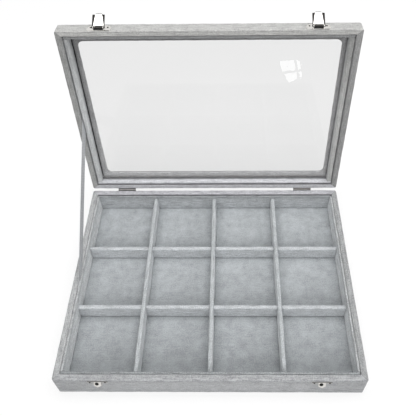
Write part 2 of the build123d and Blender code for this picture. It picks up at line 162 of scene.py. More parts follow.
def makeVelvet(name, tint, grain, seed):
    look = velvetLook
    material, tree = startMaterial(name)
    place = objectPlace(tree)
    moved = addNode(tree, "VectorMath", {"operation": "ADD", 0: place, 1: (seed, seed * 0.7, seed * 0.3)})
    patch = addNoise(tree, moved, look["patchSize"], Detail=6.0, Roughness=0.68)
    perStroke = (1 / (look["strokeLength"] * mm), 1 / (look["strokeWidth"] * mm), 1)
    strokes = addNode(tree, "Mapping", {"Scale": perStroke, "Vector": layerPlace(tree, "nap")})
    stroke = addNode(tree, "TexNoise", {"Scale": 1.0, "Detail": 3.0, "Roughness": 0.6, "Vector": strokes},
                     "Fac")
    pile = addNoise(tree, place, look["pileSize"], Detail=2.0, Roughness=0.7)
    tone = mixValues(tree, grain["pileShare"], mixValues(tree, grain["streak"], patch, stroke), pile)
    level = addRange(tree, tone, 0.5 - grain["spread"], 0.5 + grain["spread"])
    dark, pale = ([a * b for a, b in zip(hexColour(look[key]), hexColour(tint))] for key in ("dark", "pale"))
    # Painted shade: the 'shade' layer darkens the cloth towards the crease colour
    shade = addNode(tree, "SeparateXYZ", {0: layerPlace(tree, "shade")})
    colour = mixColours(tree, shade, mixColours(tree, level, dark, pale), hexColour(look["crease"]))
    bump = addBump(tree, mixValues(tree, look["bumpPile"], stroke, pile), *look["bump"])
    cloth = addNode(tree, "BsdfPrincipled", {
        "Base Color": colour, "Normal": bump, "Roughness": 0.95, "Specular IOR Level": 0.15,
        "Sheen Weight": look["sheen"], "Sheen Roughness": look["sheenRoughness"],
        "Sheen Tint": hexColour("#E6E8EA")})
    return endMaterial(material, tree, cloth)


# Wool-and-polyester felt, pressed: dull darker grey with loose fibres
feltLook = {"dark": "#6E7072", "pale": "#8A8C8E", "fibre": 0.7, "cloud": 12.0, "cloudShare": 0.5,
            "bump": (0.5, 0.3), "roughness": 0.97, "specular": 0.1, "sheen": 0.2}


def makeFelt(name):
    look = feltLook
    material, tree = startMaterial(name)
    place = objectPlace(tree)
    cloud = addNoise(tree, place, look["cloud"], Detail=5.0)
    fibre = addNoise(tree, place, look["fibre"], Detail=3.0, Distortion=2.5)
    return endMatt(material, tree, look, fibre, cloud)


# Medium-density fibreboard, sawn and left raw under the velvet: tan with fine fibre flecks
boardLook = {"dark": "#9C7F5E", "pale": "#BFA27C", "fleck": 1.1, "cloud": 25.0, "cloudShare": 0.35,
             "bump": (0.25, 0.2), "roughness": 0.8, "specular": 0.3, "sheen": 0.0}


def makeFibreboard(name):
    look = boardLook
    material, tree = startMaterial(name)
    place = objectPlace(tree)
    fleck = addNoise(tree, place, look["fleck"], Detail=4.0)
    cloud = addNoise(tree, place, look["cloud"])
    return endMatt(material, tree, look, fleck, cloud)


# Stamped steel, tumbled and nickel plated: a bright mirror, a little cloudy, with fine rub marks. The darker
# copies of this nickel are painted light and shade: painted deep shade on the folded lugs, the lever pins and
# the nail heads, painted shade on the lever's flanks, the catches' top edges, the hinges and their screws,
# and a painted dim reflection on the catch plates and the lever's lip
nickelLook = {
    "bright": {"clean": "#E6E4E0", "worn": "#CBC9C5", "cloud": 5.0, "rub": 0.5},
    "paintedDimReflection": {"clean": "#A5A5A4", "worn": "#8D8D8C", "cloud": 4.0, "rub": 0.5},
    "hinge": {"clean": "#7E7C7A", "worn": "#686664", "cloud": 4.0, "rub": 0.5},
    "dull": {"clean": "#5C5A57", "worn": "#403F3D", "cloud": 4.0, "rub": 0.5},
    "paintedDeepShade": {"clean": "#3E3C3A", "worn": "#2A2927", "cloud": 2.0, "rub": 0.5},
    # painted deep shade, laid over the places listed below
    "dark": "#262524",
    "cloudiness": (0.6, 1.5),    # how far the roughness goes below and above its usual value
    "rubStretch": (0.2, 1.0, 1.0),
    "bump": (0.12, 0.05),
}
# The places on each stamping painted with deep shade, in mm from its middle and along its height when lid and
# latch are closed
paintedShadePlaces = {
    "plate": {"half": 5.6, "from": 37.5, "blur": 0.2},
    "lever": {"halfAtLip": 3.6, "halfAtPin": 5.9, "lip": 24.0, "pin": 38.0, "blur": (-0.2, 0.3)},
    "catch": {"across": -0.8, "up": 30.5, "reach": 2.2, "blur": 0.3},
}


def paintedShadeMask(tree, kind):
    s = paintedShadePlaces[kind]
    place = addNode(tree, "SeparateXYZ", {0: layerPlace(tree, "nap")}, None)
    across, up = place.outputs[0], place.outputs[1]
    if kind == "catch":
        x, y = addMath(tree, "SUBTRACT", across, s["across"]), addMath(tree, "SUBTRACT", up, s["up"])
        spot = addNode(tree, "CombineXYZ", {0: x, 1: y})
        away = addNode(tree, "VectorMath", {"operation": "LENGTH", 0: spot}, "Value")
        return addRange(tree, away, s["reach"] + s["blur"], s["reach"] - s["blur"])
    sideways = addMath(tree, "ABSOLUTE", across)
    if kind == "plate":
        middle = addRange(tree, sideways, s["half"] + s["blur"], s["half"] - s["blur"])
        above = addRange(tree, up, s["from"] - s["blur"], s["from"] + s["blur"])
        return addMath(tree, "MULTIPLY", middle, above)
    edge = addRange(tree, up, s["lip"], s["pin"], s["halfAtLip"], s["halfAtPin"])
    return addRange(tree, addMath(tree, "SUBTRACT", sideways, edge), *s["blur"])


def makeNickel(name, finish, roughness, dark=None):
    look = nickelLook[finish]
    material, tree = startMaterial(name)
    place = objectPlace(tree)
    cloud = addNoise(tree, place, look["cloud"], Detail=4.0)
    stretched = addNode(tree, "Mapping", {"Scale": nickelLook["rubStretch"], "Vector": place})
    rub = addNoise(tree, stretched, look["rub"], Detail=2.0)
    colour = mixColours(tree, cloud, hexColour(look["worn"]), hexColour(look["clean"]))
    if dark:
        colour = mixColours(tree, paintedShadeMask(tree, dark), colour, hexColour(nickelLook["dark"]))
    shine = addRange(tree, cloud, 0.0, 1.0, *(roughness * share for share in nickelLook["cloudiness"]))
    metal = addNode(tree, "BsdfPrincipled", {"Metallic": 1.0, "Base Color": colour, "Roughness": shine,
                                             "Normal": addBump(tree, rub, *nickelLook["bump"])})
    return endMaterial(material, tree, metal)


# Clear float glass, 1.8 mm thick: a slightly grey pane that keeps back a little light at each face. Its
# mirror is weaker than a real pane's (IOR 1.52), because the photograph hardly shows the tray in it
glassLook = {"tint": "#E8E8E8", "eachFace": "#FBFBFB", "smear": 60.0, "roughest": 0.004, "index": 1.25}


def makeGlass(name):
    look = glassLook
    material, tree = startMaterial(name)
    smear = addNoise(tree, objectPlace(tree), look["smear"], Detail=3.0)
    pane = addNode(tree, "BsdfPrincipled", {
        "Base Color": hexColour(look["tint"]), "Transmission Weight": 1.0, "IOR": look["index"],
        "Roughness": addRange(tree, smear, 0.0, 1.0, 0.0, look["roughest"])})
    clear = addNode(tree, "BsdfTransparent", {"Color": hexColour(look["eachFace"])})
    both = addNode(tree, "MixShader", {0: anyRay(tree, "Shadow", "Diffuse"), 1: pane, 2: clear})
    return endMaterial(material, tree, both)


# Polyester ribbon, woven with fine ribs across it and a firm edge: satiny grey
ribbonLook = {"dark": "#94969A", "pale": "#BBBDBF", "cloud": 8.333, "cloudShare": 0.4, "bump": (0.4, 0.1),
              "roughness": 0.55, "specular": 0.4, "sheen": 0.2,
              "rib": 1.0}      # mm, real ribs are about half of this


def makeRibbon(name):
    look = ribbonLook
    material, tree = startMaterial(name)
    nap = layerPlace(tree, "nap")
    ribs = addNode(tree, "TexWave", {"wave_type": "BANDS", "bands_direction": "X", "Vector": nap,
                                     "Scale": 1 / (look["rib"] * mm * 2 * math.pi), "Distortion": 0.3},
                   "Fac")
    cloud = addNoise(tree, nap, look["cloud"], Detail=3.0)
    return endMatt(material, tree, look, ribs, cloud)


# Each side of each piece gets its own tint: partly its pile shows lighter or darker than its neighbour's,
# partly it is painted light and shade for how the lamps fall on that side
velvetTintsAndPaintedShade = {
    "base wrap": {"front": "#C8C7C7", "back": "#DDDADD", "left": "#D1D0CF", "right": "#C0BFBE"},
    "lid wrap": {"front": "#CDCAC6", "back": "#DFDCDE", "left": "#C0BEBB", "right": "#AAA8A6",
                 "top": "#D4D2D0", "inside": "#F9F6F5"},
    "lid lip": {"front": "#A6A5A4", "back": "#F5F3F5", "left": "#E5E4E3", "right": "#D2D0CC"},
    "liner": {"front": "#D5D7D7", "back": "#D6D7D8", "left": "#F7F7F6", "right": "#F6F6F5"},
    "dividers": {"cross": "#E5E6E7", "long": "#D9DBDB"},
    "floor": {"sheet": "#D5D7D8"},
}
# How much of the grain is brush strokes, how much is single tufts, and how gently dark goes over into pale
velvetGrain = {
    "base wrap": {"streak": 0.72, "pileShare": 0.4, "spread": 0.09},
    "lid wrap": {"streak": 0.72, "pileShare": 0.4, "spread": 0.11},
    "lid lip": {"streak": 0.72, "pileShare": 0.4, "spread": 0.13},
    "liner": {"streak": 0.65, "pileShare": 0.4, "spread": 0.075},
    "dividers": {"streak": 0.72, "pileShare": 0.4, "spread": 0.11},
    "floor": {"streak": 0.25, "pileShare": 0.45, "spread": 0.16},
}
velvets = {}
for piece, tints in velvetTintsAndPaintedShade.items():
    for part, tint in tints.items():
        velvets[piece, part] = makeVelvet("brushed velvet, " + piece + " " + part, tint, velvetGrain[piece],
                                          len(velvets) * velvetLook["shift"])
greyFelt = makeFelt("pressed grey felt")
rawBoard = makeFibreboard("raw fibreboard")
brightNickel = makeNickel("nickel-plated steel, bright", "bright", 0.16)
# Darker copies of the same nickel: painted shade, painted deep shade and a painted dim reflection
dullNickelPaintedShade = makeNickel("nickel-plated steel, dull with painted shade", "dull", 0.34)
hingeNickelPaintedShade = makeNickel("nickel-plated steel, hinge with painted shade", "hinge", 0.34)
deepShadeNickel = makeNickel("nickel-plated steel, painted deep shade", "paintedDeepShade", 0.3)
dimReflectionNickel = makeNickel("nickel-plated steel, painted dim reflection", "paintedDimReflection", 0.3)
# Bright nickel with painted deep shade over its dark places
plateNickel = makeNickel("nickel-plated steel, latch plate with painted shade", "bright", 0.16, "plate")
leverNickel = makeNickel("nickel-plated steel, inside of the lever with painted shade", "bright", 0.16, "lever")
tongueNickel = makeNickel("nickel-plated steel, catch tongue with painted shade", "bright", 0.12, "catch")
clearGlass = makeGlass("clear float glass")
greyRibbon = makeRibbon("woven grey ribbon")
print("materials made")

# Where things are, read from the frame. The lid is shaped closed, then swung open about its hinge
joints = {joint["name"]: joint for joint in frame["joints"]}
hingePoint = Vector(joints["lid_hinge"]["pos_m"])
openAngle = math.radians(joints["lid_hinge"]["range_deg"][1])


def turnLid(angle):
    return Matrix.Translation(hingePoint) @ Matrix.Rotation(angle, 4, "X") @ Matrix.Translation(-hingePoint)


openLid = turnLid(-openAngle)
closeLid = turnLid(openAngle)


def closedBox(node):
    points = [closeLid @ v.co for v in frame["nodes"][node].data.vertices]
    low = Vector([min(p[i] for p in points) for i in range(3)])
    high = Vector([max(p[i] for p in points) for i in range(3)])
    return low, high


def dress(node, material):
    shown = frame["nodes"][node]
    shown.data.materials.clear()
    shown.data.materials.append(material)


def addToScene(name, data):
    item = bpy.data.objects.new(name, data)
    bpy.context.scene.collection.objects.link(item)
    return item


def addLayer(mesh, name, values):
    layer = mesh.uv_layers.new(name=name)
    for loop in mesh.loops:
        layer.data[loop.index].uv = values[loop.vertex_index]


def finishPiece(name, points, faces, material, naps=None, body="base", lid=False, shades=None):
    mesh = bpy.data.meshes.new(name)
    if lid:
        points = [openLid @ Vector(p) for p in points]
    mesh.from_pydata([tuple(p) for p in points], [], faces)
    mesh.materials.append(material)
    if naps:
        addLayer(mesh, "nap", naps)
    if shades:
        addLayer(mesh, "shade", [(shade, 0) for shade in shades])
    mesh.polygons.foreach_set("use_smooth", [True] * len(mesh.polygons))
    mesh.update()
    piece = addToScene(name, mesh)
    if body:
        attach(piece, body)
    return piece


def uneven(mesh, amount, size, seed, settle=None):
    shifts = []
    for vertex in mesh.vertices:
        at = vertex.co / size + Vector((seed, seed * 1.7, seed * 0.6))
        rise = amount * noise.noise(at)
        if settle:      # never above the surface it starts from, and never down to the board
            rise = max(-2 * settle, min(0.0, rise - settle))
        shifts.append(vertex.normal * rise)
    for vertex, shift in zip(mesh.vertices, shifts):
        vertex.co += shift


# Outlines of rounded rectangles that match point for point, so that they can be joined into a skin
outlineSteps = {"arc": 6, "alongX": 96, "alongY": 72, "nearCorner": (0.8 * mm, 2.2 * mm, 4.5 * mm),
                "cornerSpread": 1.1}     # points of the arc over which a fold at a corner fades


def runPoints(a, b, count):
    a, b = Vector(a), Vector(b)
    length = (b - a).length
    near = [d / length for d in outlineSteps["nearCorner"]]
    first, last = near[-1], 1 - near[-1]
    inner = [first + (last - first) * k / count for k in range(1, count)]
    return [a.lerp(b, t) for t in near + inner + [1 - t for t in reversed(near)]]


def sideSteps(turn):
    return outlineSteps["alongX"] if turn % 2 == 0 else outlineSteps["alongY"]


def roundedOutline(halfX, halfY, radius, z, middle=(0.0, 0.0)):
    steps = outlineSteps["arc"]
    arcs = []
    for turn, (sx, sy) in enumerate(((1, 1), (-1, 1), (-1, -1), (1, -1))):
        cx, cy = middle[0] + sx * (halfX - radius), middle[1] + sy * (halfY - radius)
        angles = [math.radians(90 * turn + 90 * k / steps) for k in range(steps + 1)]
        arcs.append([Vector((cx + radius * math.cos(a), cy + radius * math.sin(a), z)) for a in angles])
    points = []
    for turn in range(4):
        points += arcs[turn] + runPoints(arcs[turn][-1], arcs[(turn + 1) % 4][0], sideSteps(turn))
    return points


# For each point of such an outline: the side that it belongs to, and how near it is to a corner's middle
def outlineMarks():
    steps, near = outlineSteps["arc"], len(outlineSteps["nearCorner"])
    order = ("back", "left", "front", "right")
    marks = []
    for turn in range(4):
        for k in range(steps + 2 * near + sideSteps(turn)):
            side = order[turn - 1] if k < steps // 2 else order[turn]
            marks.append((side, math.exp(-((k - steps / 2) / outlineSteps["cornerSpread"]) ** 2)))
    return marks


marks = outlineMarks()
sides = [side for side, corner in marks]


def arcProfile(centreT, centreZ, radius, start, end, steps=5):
    turns = [math.radians(start + (end - start) * k / steps) for k in range(steps + 1)]
    return [(centreT + radius * math.cos(a), centreZ + radius * math.sin(a)) for a in turns]


def between(a, b, count):
    return [(a[0] + (b[0] - a[0]) * k / count, a[1] + (b[1] - a[1]) * k / count) for k in range(1, count)]


def ringFaces(rows, size, first=0):
    faces = []
    for r in range(rows - 1):
        a, b = first + r * size, first + (r + 1) * size
        faces += [(a + k, a + (k + 1) % size, b + (k + 1) % size, b + k) for k in range(size)]
    return faces


def endFaces(rows, size, first=0):
    last = first + (rows - 1) * size
    return [tuple(first + k for k in range(size))[::-1], tuple(last + k for k in range(size))]


def joinOutlines(outlines):
    points = [p for outline in outlines for p in outline]
    faces = ringFaces(len(outlines), len(outlines[0]))
    naps = []
    across = 0.0
    for r, outline in enumerate(outlines):
        across += (outline[0] - outlines[r - 1][0]).length if r else 0.0
        along = 0.0
        for k, point in enumerate(outline):
            along += (point - outline[k - 1]).length if k else 0.0
            naps.append((along, across))
    return points, faces, naps


# Velvet wrap of the base: up the outside, over the rim, down the inside
wrapSizes = {
    "cloth": 0.6 * mm,
    "cornerRadius": 3.0 * mm,
    "outerEdge": 1.4 * mm,
    "innerEdge": 1.3 * mm,
    "insideCorner": 0.8 * mm,
    "foldDepth": 0.22 * mm,
    # painted shade in the folds at the corners
    "foldShade": 0.4,
    "unevenness": 0.28 * mm,
    "unevenLength": 9 * mm,
    "settle": 0.13 * mm,
    "endShade": 0.2,         # painted shade, darker on the front towards its two ends
    "frontEdgeShade": 0.17,  # painted shade line along the outer edge
    # painted shade in the grooves beside the liners
    "grooveShade": {"front": 0.0, "left": 0.05, "right": 0.05, "back": 0.5},
}
baseLow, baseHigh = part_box("base_velvet_wrap")
wallLow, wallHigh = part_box("base_front_wall")
wallThickness = wallHigh.y - wallLow.y + 2 * wrapSizes["cloth"]
halfX, halfY = (baseHigh.x - baseLow.x) / 2, (baseHigh.y - baseLow.y) / 2


def frameOutline(inset, z):
    radius = max(wrapSizes["cornerRadius"] - inset, wrapSizes["insideCorner"])
    return roundedOutline(halfX - inset, halfY - inset, radius, z)


def thicken(piece, cloth):
    solid = piece.modifiers.new("cloth", "SOLIDIFY")
    solid.thickness = cloth
    solid.offset = -1.0


def paint(piece, kind, parts):
    names = sorted(set(parts))
    piece.data.materials.clear()
    for name in names:
        piece.data.materials.append(velvets[kind, name])
    for polygon, part in zip(piece.data.polygons, parts):
        polygon.material_index = names.index(part)


def finishWrap(piece, kind, parts, seed):
    s = wrapSizes
    paint(piece, kind, parts)
    uneven(piece.data, s["unevenness"], s["unevenLength"], seed, s["settle"])
    thicken(piece, s["cloth"])


def foldCorners(outlines, rows, depth):
    for r in rows:
        for point, (side, corner) in zip(outlines[r], marks):
            point.z += depth * corner


def makeBaseWrap():
    s = wrapSizes
    top, low = baseHigh.z, baseLow.z
    outer, inner = s["outerEdge"], s["innerEdge"]
    profile = [(0, low)] + between((0, low), (0, top - outer), 5)
    edgeRow = len(profile)
    profile += arcProfile(outer, top - outer, outer, 180, 90)
    rimStart = len(profile) - 2
    profile += between((outer, top), (wallThickness - inner, top), 4)
    profile += arcProfile(wallThickness - inner, top - inner, inner, 90, 0)
    rimEnd = len(profile) - 4
    profile += between((wallThickness, top - inner), (wallThickness, low), 5) + [(wallThickness, low)]
    outlines = [frameOutline(t, z) for t, z in profile]
    foldCorners(outlines, range(rimStart, rimEnd), -s["foldDepth"])
    points, faces, naps = joinOutlines(outlines)
    # Painted shade: in the grooves, towards the front's ends, along its outer edge and in the corner folds
    shades = []
    for r, outline in enumerate(outlines):
        for point, (side, corner) in zip(outline, marks):
            shade = s["grooveShade"][side] if r > rimEnd else 0.0
            if r < rimStart and side == "front":
                shade = s["endShade"] * max(0.0, 2 * abs(point.x) / halfX - 1)
                shade = max(shade, s["frontEdgeShade"] if r == edgeRow else 0.0)
            if rimStart <= r < rimEnd:
                shade = s["foldShade"] * corner
            shades.append(shade)
    piece = finishPiece("baseVelvet", points, faces, velvets["base wrap", "front"], naps, shades=shades)
    finishWrap(piece, "base wrap", [sides[f % len(sides)] for f in range(len(faces))], seed=1.0)
    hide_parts("base_velvet_wrap")


# Velvet wrap of the lid: from inside the rim, round the rails, over the top and round the window
lidSizes = {
    "hem": 6.0 * mm,
    "windowRadius": 7.0 * mm,
    "windowEdge": 0.9 * mm,
    "besideWindow": {"left": 19.9 * mm, "right": 19.6 * mm, "front": 21.2 * mm, "back": 21.2 * mm},
    "leftSlant": 3.0 * mm,       # the window is cut a little out of square on the left
    "lipCrease": 1.4 * mm,
}
# Painted shade on the lid's velvet: in its folds, inside round the glass at its front and back, behind the
# latches
lidShades = {
    "groove": {"front": 0.3, "left": 0.28, "right": 0.12, "back": 0.6},
    "inside": {"front": (0.65, 0.65), "left": (0.66, 0.1), "right": (0.5, 0.1), "back": (0.0, 0.0)},
    "crease": {"front": 0.9, "left": 1.0, "right": 0.6, "back": 0.15},      # painted shade where the glass is held
    "leftRim": 0.27,             # painted shade at the front, none at the hinges
    # painted shade line along the front's outer edge
    "frontEdge": 0.26,
    "latch": {"shade": 0.97, "half": 6.0 * mm, "low": 37.4 * mm, "high": 45.0 * mm},
}
lidLow, lidHigh = closedBox("lid_velvet_wrap")
glassTop = closedBox("glass_pane")[1].z


def windowOutline(grow, z):
    left, right, front, back = (lidSizes["besideWindow"][side] for side in ("left", "right", "front", "back"))
    outline = roundedOutline(halfX - (left + right) / 2 + grow, halfY - (front + back) / 2 + grow,
                             lidSizes["windowRadius"] + grow, z, ((left - right) / 2, (front - back) / 2))
    for point in outline:
        point.x += lidSizes["leftSlant"] * max(0.0, -point.x / halfX) * (point.y + halfY) / (2 * halfY)
    return outline


def blendOutlines(a, b, count):
    return [[p.lerp(q, k / count) for p, q in zip(a, b)] for k in range(1, count)]


def behindLatch(point):
    s = lidShades["latch"]
    latchPlace = joints["right_latch_pivot"]["pos_m"][0]
    return abs(abs(point.x) - latchPlace) < s["half"] and s["low"] < point.z < s["high"]


def makeLidWrap():
    s = wrapSizes
    low, top, under = lidLow.z, lidHigh.z, glassTop
    outer, inner, edge = s["outerEdge"], s["innerEdge"], lidSizes["windowEdge"]
    hem = (wallThickness, low + lidSizes["hem"])
    profile = [hem] + between(hem, (wallThickness, low + inner), 3)
    profile += arcProfile(wallThickness - inner, low + inner, inner, 0, -90)
    rimStart = len(profile) - 2
    profile += between((wallThickness - inner, low), (outer, low), 4)
    edgeRow = len(profile)
    profile += arcProfile(outer, low + outer, outer, 270, 180)
    rimEnd = len(profile) - 4
    profile += between((0, low + outer), (0, top - outer), 4)
    profile += arcProfile(outer, top - outer, outer, 180, 90)
    outlines = [frameOutline(t, z) for t, z in profile]
    foldCorners(outlines, range(rimStart, rimEnd), s["foldDepth"])
    topStart = len(outlines) - 1
    outlines += blendOutlines(outlines[-1], windowOutline(edge, top), 5)
    outlines += [windowOutline(t, z) for t, z in arcProfile(edge, top - edge, edge, 90, 180)]
    insideStart = len(outlines)
    halfwayRound = insideStart - 3       # in the turn from the top to the window's edge
    outlines += [windowOutline(t, z) for t, z in arcProfile(edge, under + edge, edge, 180, 270)]
    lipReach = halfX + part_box("lid_lip_left")[1].x
    besideLip = frameOutline(lipReach + lidSizes["lipCrease"], under)
    outlines += blendOutlines(outlines[-1], besideLip, 3) + [besideLip]
    creaseStart = len(outlines)
    outlines += [frameOutline(lipReach, under), frameOutline(wallThickness, under)]
    points, faces, naps = joinOutlines(outlines)
    # Painted shade, from lidShades
    shades = []
    for r, outline in enumerate(outlines):
        for point, (side, corner) in zip(outline, marks):
            share = (point.y + halfY) / (2 * halfY)
            if r >= creaseStart:
                shade = lidShades["crease"][side]
            elif r >= halfwayRound:
                atFront, atBack = lidShades["inside"][side]
                shade = atFront + (atBack - atFront) * share
            elif side == "front" and behindLatch(point):
                shade = lidShades["latch"]["shade"]
            elif side == "front" and r == edgeRow:
                shade = lidShades["frontEdge"]
            elif rimStart - 1 <= r < topStart:
                shade = s["foldShade"] * corner if r < rimEnd else 0.0
                if side == "left":
                    shade = max(shade, lidShades["leftRim"] * (1 - share))
            else:
                shade = lidShades["groove"][side] if r < rimStart - 1 else 0.0
            shades.append(shade)
    piece = finishPiece("lidVelvet", points, faces, velvets["lid wrap", "front"], naps, "lid", lid=True,
                        shades=shades)
    parts = [sides[f % len(sides)] for f in range(len(faces))]
    for f in range(topStart * len(sides), len(faces)):
        parts[f] = "top" if f < insideStart * len(sides) else "inside"
    finishWrap(piece, "lid wrap", parts, seed=2.0)
    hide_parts("lid_velvet_wrap")


# Strips and dividers: card bars wrapped in velvet, with soft edges and ends
barSizes = {
    "edge": 0.9 * mm,
    "foot": 0.7 * mm,
    "end": 0.8 * mm,
    "endRows": (0.0, 0.15, 0.5, 1.0, 2.0),      # in lengths of the rounded end
    "endClear": 3.0,
    "step": 5.0 * mm,
    "slotClear": 0.4,        # of a step, kept free beside a slot's walls
    "slotWall": 0.01 * mm,
    "unevenness": 0.3 * mm,
    "unevenLength": 8 * mm,
}


def barSection(width, low, high, topRadius, footRadius):
    half, rows = width / 2, (0.3, 0.5, 0.7)
    section = arcProfile(half - topRadius, high - topRadius, topRadius, 0, 90)
    section += [(0, high)] + arcProfile(topRadius - half, high - topRadius, topRadius, 90, 180)
    section += [(-half, low + (high - low) * share) for share in reversed(rows)]
    section += arcProfile(footRadius - half, low + footRadius, footRadius, 180, 270, 3)
    section += [(0, low)] + arcProfile(half - footRadius, low + footRadius, footRadius, 270, 360, 3)
    return section + [(half, low + (high - low) * share) for share in rows]


def barPlaces(length, slots):
    s = barSizes
    places = [(-length / 2 + share * s["end"], False) for share in s["endRows"]]
    places += [(-p, False) for p, _ in places]
    count = max(4, round(length / s["step"]))
    walls = [wall for slot in slots for wall in slot]
    for k in range(1, count):
        p = -length / 2 + length * k / count
        clear = all(abs(p - wall) > s["slotClear"] * s["step"] for wall in walls)
        if clear and abs(p) < length / 2 - s["endClear"] * s["end"]:
            places.append((p, any(a < p < b for a, b in slots)))
    for a, b in slots:
        places += [(a - s["slotWall"], False), (a, True), (b, True), (b + s["slotWall"], False)]
    return sorted(places)


def makeBar(name, node, material, alongX, lid=False, footUp=False, topRadius=None,
            slots=(), slotLow=-math.inf, slotHigh=math.inf, seed=1.0, grow=None, shadeAt=None):
    s = barSizes
    low, high = closedBox(node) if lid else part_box(node)
    if grow:
        low, high = low + grow[0], high + grow[1]
    middle = (low + high) / 2
    length = high.x - low.x if alongX else high.y - low.y
    width = high.y - low.y if alongX else high.x - low.x
    height = high.z - low.z
    topRadius = topRadius or s["edge"]
    edges = (s["foot"], topRadius) if footUp else (topRadius, s["foot"])
    section = barSection(width, low.z, high.z, *edges)
    points, naps, shades = [], [], []
    places = barPlaces(length, slots)
    for place, inSlot in places:
        gone = max(0.0, s["end"] - (length / 2 - abs(place)))
        shrink = s["end"] - math.sqrt(max(0.0, s["end"] ** 2 - gone ** 2))
        scaleA, scaleZ = 1 - shrink / (width / 2), 1 - shrink / (height / 2)
        around = 0.0
        for k, (across, z) in enumerate(section):
            a, h = across * scaleA, middle.z + (z - middle.z) * scaleZ
            if inSlot:
                h = min(max(h, slotLow), slotHigh)
            around += math.dist(section[k - 1], (across, z)) if k else 0.0
            x, y = (place, a) if alongX else (a, place)
            points.append((middle.x + x, middle.y + y, h))
            naps.append((place + seed, around))
            if shadeAt:
                shades.append(shadeAt(2 * across / width, (z - low.z) / height, place / length + 0.5))
    faces = ringFaces(len(places), len(section)) + endFaces(len(places), len(section))
    if not alongX:
        faces = [face[::-1] for face in faces]
    piece = finishPiece(name, points, faces, material, naps, "lid" if lid else "base", lid=lid, shades=shades)
    uneven(piece.data, s["unevenness"], s["unevenLength"], seed)
    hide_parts(node)
    return piece


# How much painted shade the strips get: on the tops of the liners, both feet of the lips, and the lips' ends
# far from the hinges. Where it starts is a share of a strip's height, half width or length
stripShades = {"linerTop": 0.3, "linerTopFrom": 0.93, "lipByGlass": 0.7, "glassFrom": 0.55, "footFrom": 0.7,
               "lipByRim": {"front": 0.35, "back": 0.6, "left": 0.35, "right": 0.2},
               "lipFarEnd": 0.42, "farEndReach": 0.45}
linerGrow = {"out": 0.6 * mm, "up": 1.2 * mm}
lipTopRadius = 1.3 * mm


def linerShade(across, height, along):
    return stripShades["linerTop"] if height > stripShades["linerTopFrom"] else 0.0


def makeStrips():
    s = stripShades
    seed = 3.0
    for side, alongX in (("front", True), ("back", True), ("left", False), ("right", False)):
        inward = 1 if side in ("front", "left") else -1

        def lipShade(across, height, along, side=side, inward=inward, alongX=alongX):
            if across * inward > s["footFrom"] and height > s["glassFrom"]:
                return s["lipByGlass"]
            if across * inward < -s["footFrom"]:
                return s["lipByRim"][side]
            return 0.0 if alongX else s["lipFarEnd"] * max(0.0, 1 - along / s["farEndReach"])

        push = (Vector((0, inward, 0)) if alongX else Vector((inward, 0, 0))) * linerGrow["out"]
        up = Vector((0, 0, linerGrow["up"]))
        if side == "back":
            push, up = Vector(), Vector()
        grow = (-push, up) if inward > 0 else (Vector(), -push + up)
        makeBar(side + "Liner", "liner_" + side, velvets["liner", side], alongX, seed=seed, grow=grow,
                shadeAt=linerShade)
        makeBar(side + "Lip", "lid_lip_" + side, velvets["lid lip", side], alongX, lid=True, footUp=True,
                topRadius=lipTopRadius, seed=seed + 5, shadeAt=lipShade)
        seed += 1.0


# The grid: the long dividers stand a little higher, and the cross dividers pass under them
gridSizes = {"lap": 0.15 * mm, "topRadius": 1.5 * mm}
longNodes = ["long_divider_" + str(n) for n in (1, 2, 3)]
crossNodes = ["cross_divider_front", "cross_divider_back"]


def makeGrid():
    lap, top = gridSizes["lap"], gridSizes["topRadius"]
    longBoxes, crossBoxes = ([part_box(node) for node in nodes] for nodes in (longNodes, crossNodes))
    crossMiddle = (crossBoxes[0][0] + crossBoxes[0][1]) / 2
    longMiddle = (longBoxes[0][0] + longBoxes[0][1]) / 2
    seed = 11.0
    for n, node in enumerate(longNodes, 1):
        slots = [(low.y - lap - longMiddle.y, high.y + lap - longMiddle.y) for low, high in crossBoxes]
        makeBar("longDivider" + str(n), node, velvets["dividers", "long"], False, topRadius=top, slots=slots,
                slotLow=crossMiddle.z + lap, seed=seed)
        seed += 1.3
    for node, name in zip(crossNodes, ("frontCrossDivider", "backCrossDivider")):
        slots = [(low.x - lap - crossMiddle.x, high.x + lap - crossMiddle.x) for low, high in longBoxes]
        makeBar(name, node, velvets["dividers", "cross"], True, topRadius=top, slots=slots,
                slotHigh=crossMiddle.z, seed=seed)
        seed += 1.3


# Velvet-covered floor: flat in the middle of each compartment, drawn down beside the dividers
floorSizes = {
    "creaseDepth": 0.35 * mm,
    "creaseWidth": 1.1 * mm,
    "creaseRows": (0.0, 0.35, 1.0, 2.5, 4.0),   # in widths of the crease
    "closest": 0.02 * mm,
    "step": 6.0 * mm,
    "crown": 0.15 * mm,
    "crownReach": 12.0 * mm,
    "sink": 0.09 * mm,
    "unevenness": 0.25 * mm,
    "unevenLength": 17 * mm,
    "evenBeside": 4.0 * mm,
    "frontShade": 0.135,     # painted shade, growing towards the front
    "clothShare": 0.6,       # of the lining's thickness
}


def cellLines(low, high, walls):
    s = floorSizes
    *near, flat = (widths * s["creaseWidth"] for widths in s["creaseRows"])
    ends = [low] + [e for wall in walls for e in wall] + [high]
    lines = [low]
    for a, b in zip(ends[0::2], ends[1::2]):
        count = max(2, round((b - a) / s["step"]))
        start, stop = a + flat, b - flat
        lines += [a + d for d in near] + [start + (stop - start) * k / count for k in range(count + 1)]
        lines += [b - d for d in reversed(near)]
    kept = [low]
    for line in lines[1:] + [high]:
        if line - kept[-1] > s["closest"]:
            kept.append(line)
    return kept


